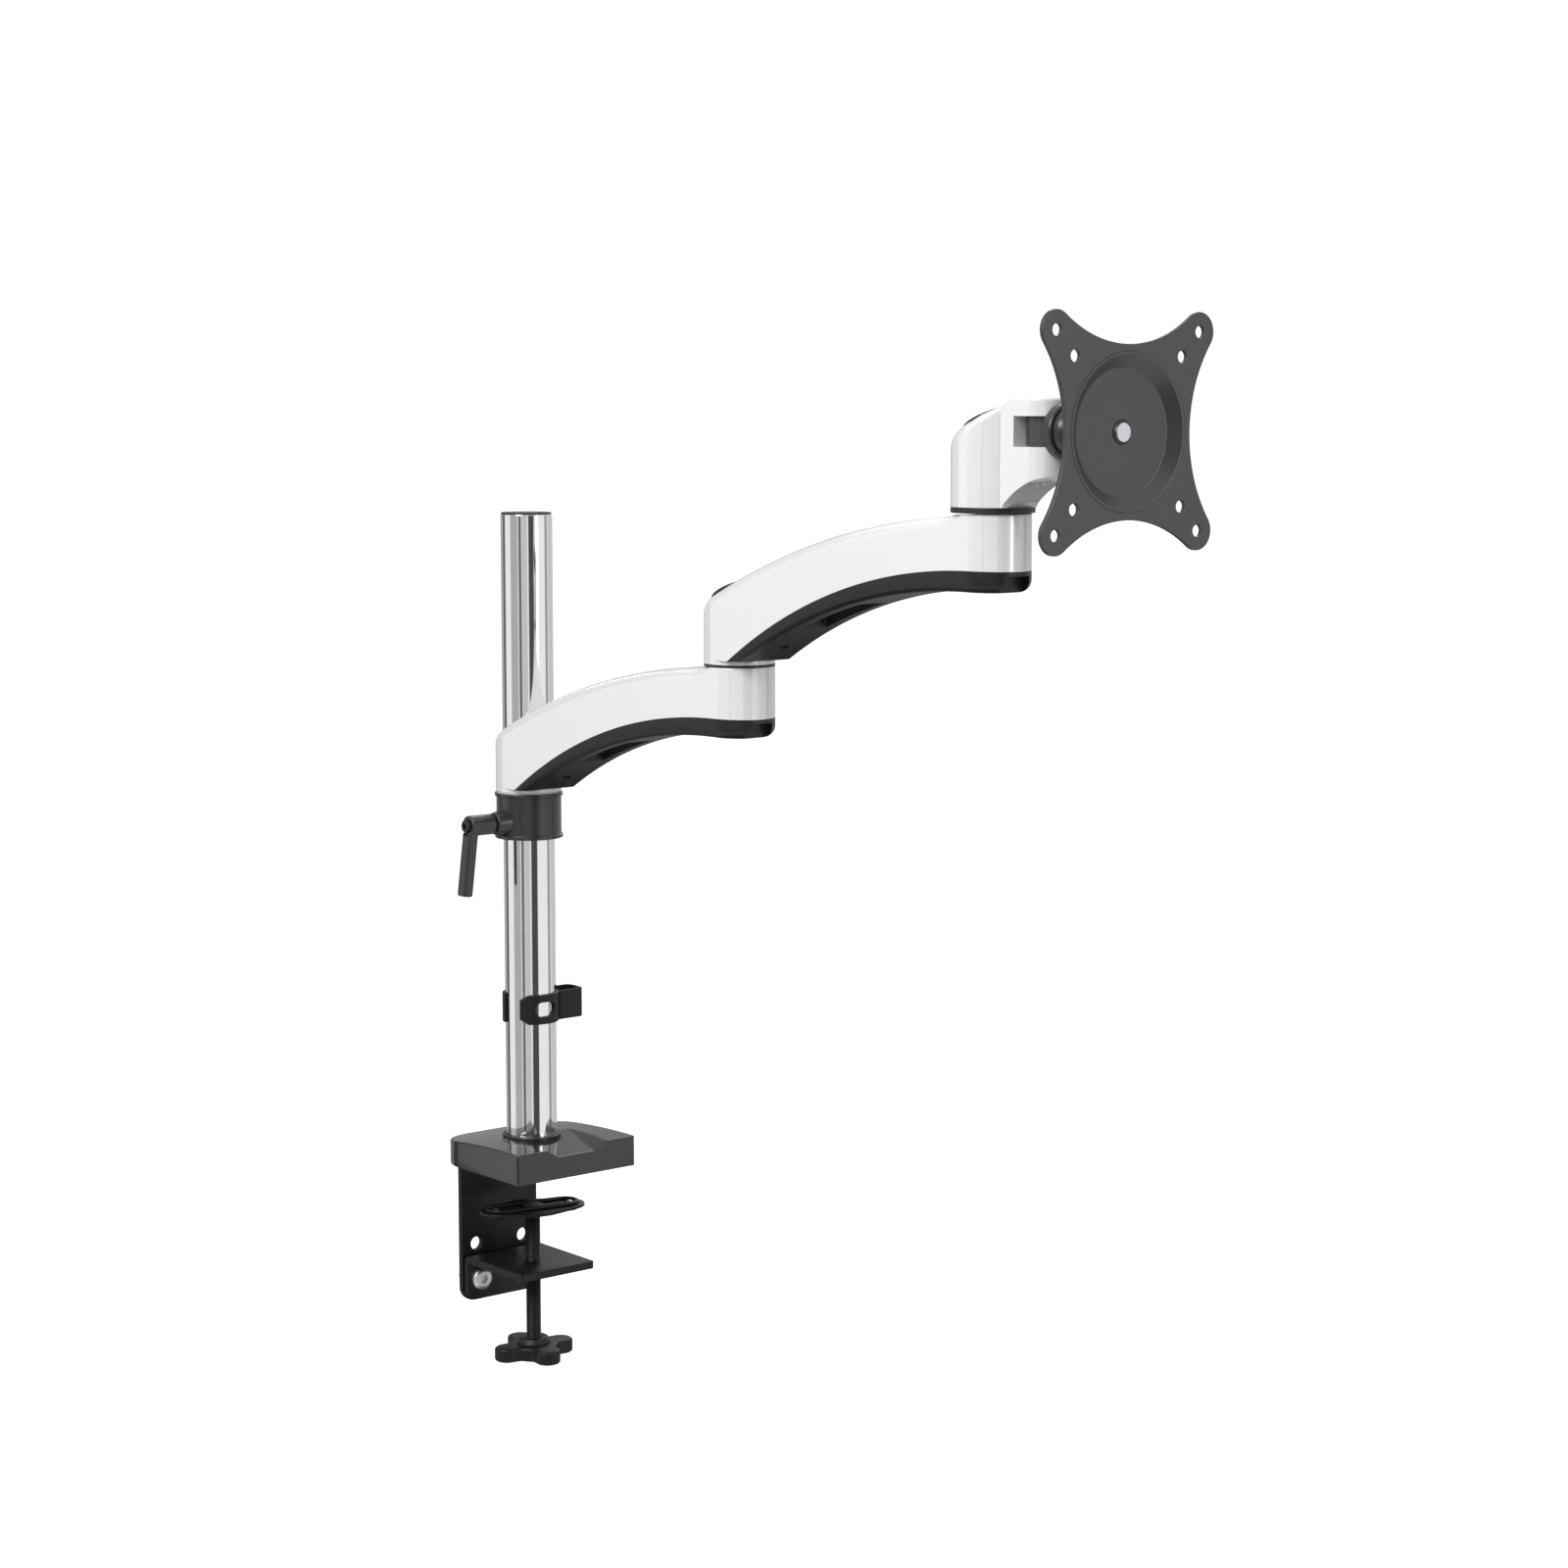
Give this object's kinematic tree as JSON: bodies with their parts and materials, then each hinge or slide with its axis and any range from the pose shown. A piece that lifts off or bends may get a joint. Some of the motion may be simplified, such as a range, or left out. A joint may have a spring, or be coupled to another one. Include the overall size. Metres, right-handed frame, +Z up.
{
  "type": "monitor arm",
  "caption": "Desk-clamped monitor arm: pole with height collar, two curved cast arms with cable covers, swivel head and a tilting square screen plate.",
  "frame": {"origin": "on the pole's axis, at the desk surface that the base rests on", "axes": "+Z up along the pole, -Y forwards along the straightened arms to the screen, +X to the right of someone facing the same way as the screen plate's back"},
  "size_m": [0.12, 0.5692, 0.6511],
  "materials": {
    "desk_pad": "thin black pad",
    "clamp_black": "black powder coat, satin",
    "steel_grey": "dull zinc plate",
    "zinc": "zinc plated",
    "cover_black": "glossy black",
    "black_trim": "black, satin",
    "chrome": "bright plated steel tube",
    "clip_black": "black, semi-gloss",
    "zinc_bright": "bright zinc plated",
    "screw_black": "blackened steel",
    "knob_black": "black, fine grain",
    "collar_black": "black, semi-gloss",
    "nylon": "natural nylon",
    "brass": "turned",
    "arm_white": "glossy white paint on cast aluminium",
    "cover_satin": "black, semi-gloss",
    "barrel_grey": "grey metallic paint",
    "cup_black": "black, satin",
    "ball_steel": "turned and plated",
    "plate_charcoal": "charcoal, fine satin texture"
  },
  "bodies": {
    "base": {"desk_pad": "desk_pad", "clamp_bracket": "clamp_black", "base_plate": "steel_grey", "bracket_screws": "zinc", "pole_bolt": "zinc", "pole_insert": "zinc", "base_cover": "cover_black", "cover_screws": "zinc", "foot_ring": "black_trim", "pole": "chrome", "pole_cap": "black_trim", "clamp_jaw": "clamp_black", "jaw_bolts": "zinc_bright", "jaw_nuts": "zinc_bright"},
    "clip": {"cable_clip": "clip_black"},
    "pad": {"pressure_plate": "clamp_black", "swivel_strap": "clamp_black", "pad_rivets": "zinc_bright"},
    "screw": {"clamp_screw": "screw_black", "clamp_knob": "knob_black", "knob_nut": "zinc"},
    "collar": {"height_collar": "collar_black", "collar_bush": "nylon", "brake_shoe": "brass", "swivel_washer": "nylon"},
    "lever_core": {"lever_stud": "zinc", "lever_screw": "screw_black", "lever_spring": "zinc"},
    "lever_grip": {"lever_handle": "collar_black"},
    "lower_arm": {"lower_arm_shell": "arm_white", "lower_arm_cover": "cover_satin", "lower_cover_screws": "zinc", "lower_arm_bush": "nylon", "elbow_pin": "zinc", "elbow_ring": "black_trim", "elbow_washer": "zinc", "elbow_nut": "zinc"},
    "upper_arm": {"upper_arm_shell": "arm_white", "upper_arm_cover": "cover_satin", "upper_cover_screws": "zinc", "upper_arm_plug": "black_trim", "elbow_bush": "nylon", "wrist_pin": "zinc", "wrist_ring": "black_trim", "wrist_washer": "zinc", "wrist_nut": "zinc"},
    "head": {"head_shell": "arm_white", "head_plug": "black_trim", "wrist_bush": "nylon", "swivel_screw": "zinc"},
    "swivel": {"swivel_barrel": "barrel_grey", "socket_cup": "cup_black", "socket_ring": "cup_black"},
    "ball": {"ball_stud": "ball_steel", "stud_washer": "nylon"},
    "plate": {"vesa_plate": "plate_charcoal", "plate_bush": "black_trim"}
  },
  "joints": [
    {"name": "clip_slide", "type": "slide", "parent": "base", "child": "clip", "axis": [0, 0, 1], "range_m": [-0.06, 0.02]},
    {"name": "press_slide", "type": "slide", "parent": "base", "child": "pad", "axis": [0, 0, 1], "range_m": [-0.028, 0.025]},
    {"name": "screw_turn", "type": "hinge", "parent": "pad", "child": "screw", "pos_m": [0, 0, 0], "axis": [0, 0, 1], "range_deg": [-6721, 6001]},
    {"name": "collar_slide", "type": "slide", "parent": "base", "child": "collar", "axis": [0, 0, 1], "range_m": [-0.07, 0.115]},
    {"name": "lever_turn", "type": "hinge", "parent": "collar", "child": "lever_core", "pos_m": [-0.03, 0, 0.2188], "axis": [1, 0, 0], "range_deg": [-75, 75]},
    {"name": "lever_lift", "type": "slide", "parent": "lever_core", "child": "lever_grip", "axis": [-1, 0, 0], "range_m": [0, 0.003], "stiffness_N_per_m": 800, "springref_m": -0.003, "deforming": ["lever_spring"]},
    {"name": "arm_swivel", "type": "hinge", "parent": "collar", "child": "lower_arm", "pos_m": [0, 0, 0.238], "axis": [0, 0, 1], "continuous": true},
    {"name": "elbow", "type": "hinge", "parent": "lower_arm", "child": "upper_arm", "pos_m": [0, -0.211, 0.3309], "axis": [0, 0, 1], "range_deg": [-135, 135]},
    {"name": "wrist", "type": "hinge", "parent": "upper_arm", "child": "head", "pos_m": [0, -0.422, 0.4257], "axis": [0, 0, 1], "range_deg": [-90, 90]},
    {"name": "plate_pan", "type": "hinge", "parent": "head", "child": "swivel", "pos_m": [0, -0.4595, 0.4651], "axis": [0, 0, 1], "range_deg": [-45, 45]},
    {"name": "plate_tilt", "type": "hinge", "parent": "swivel", "child": "ball", "pos_m": [0, -0.483, 0.4651], "axis": [1, 0, 0], "range_deg": [-15, 15]},
    {"name": "plate_roll", "type": "hinge", "parent": "ball", "child": "plate", "pos_m": [0, -0.5202, 0.4651], "axis": [0, 1, 0], "continuous": true}
  ],
  "couplings": [
    {"joint": "screw_turn", "follows": "press_slide", "rad_per_m": 4188.8}
  ]
}
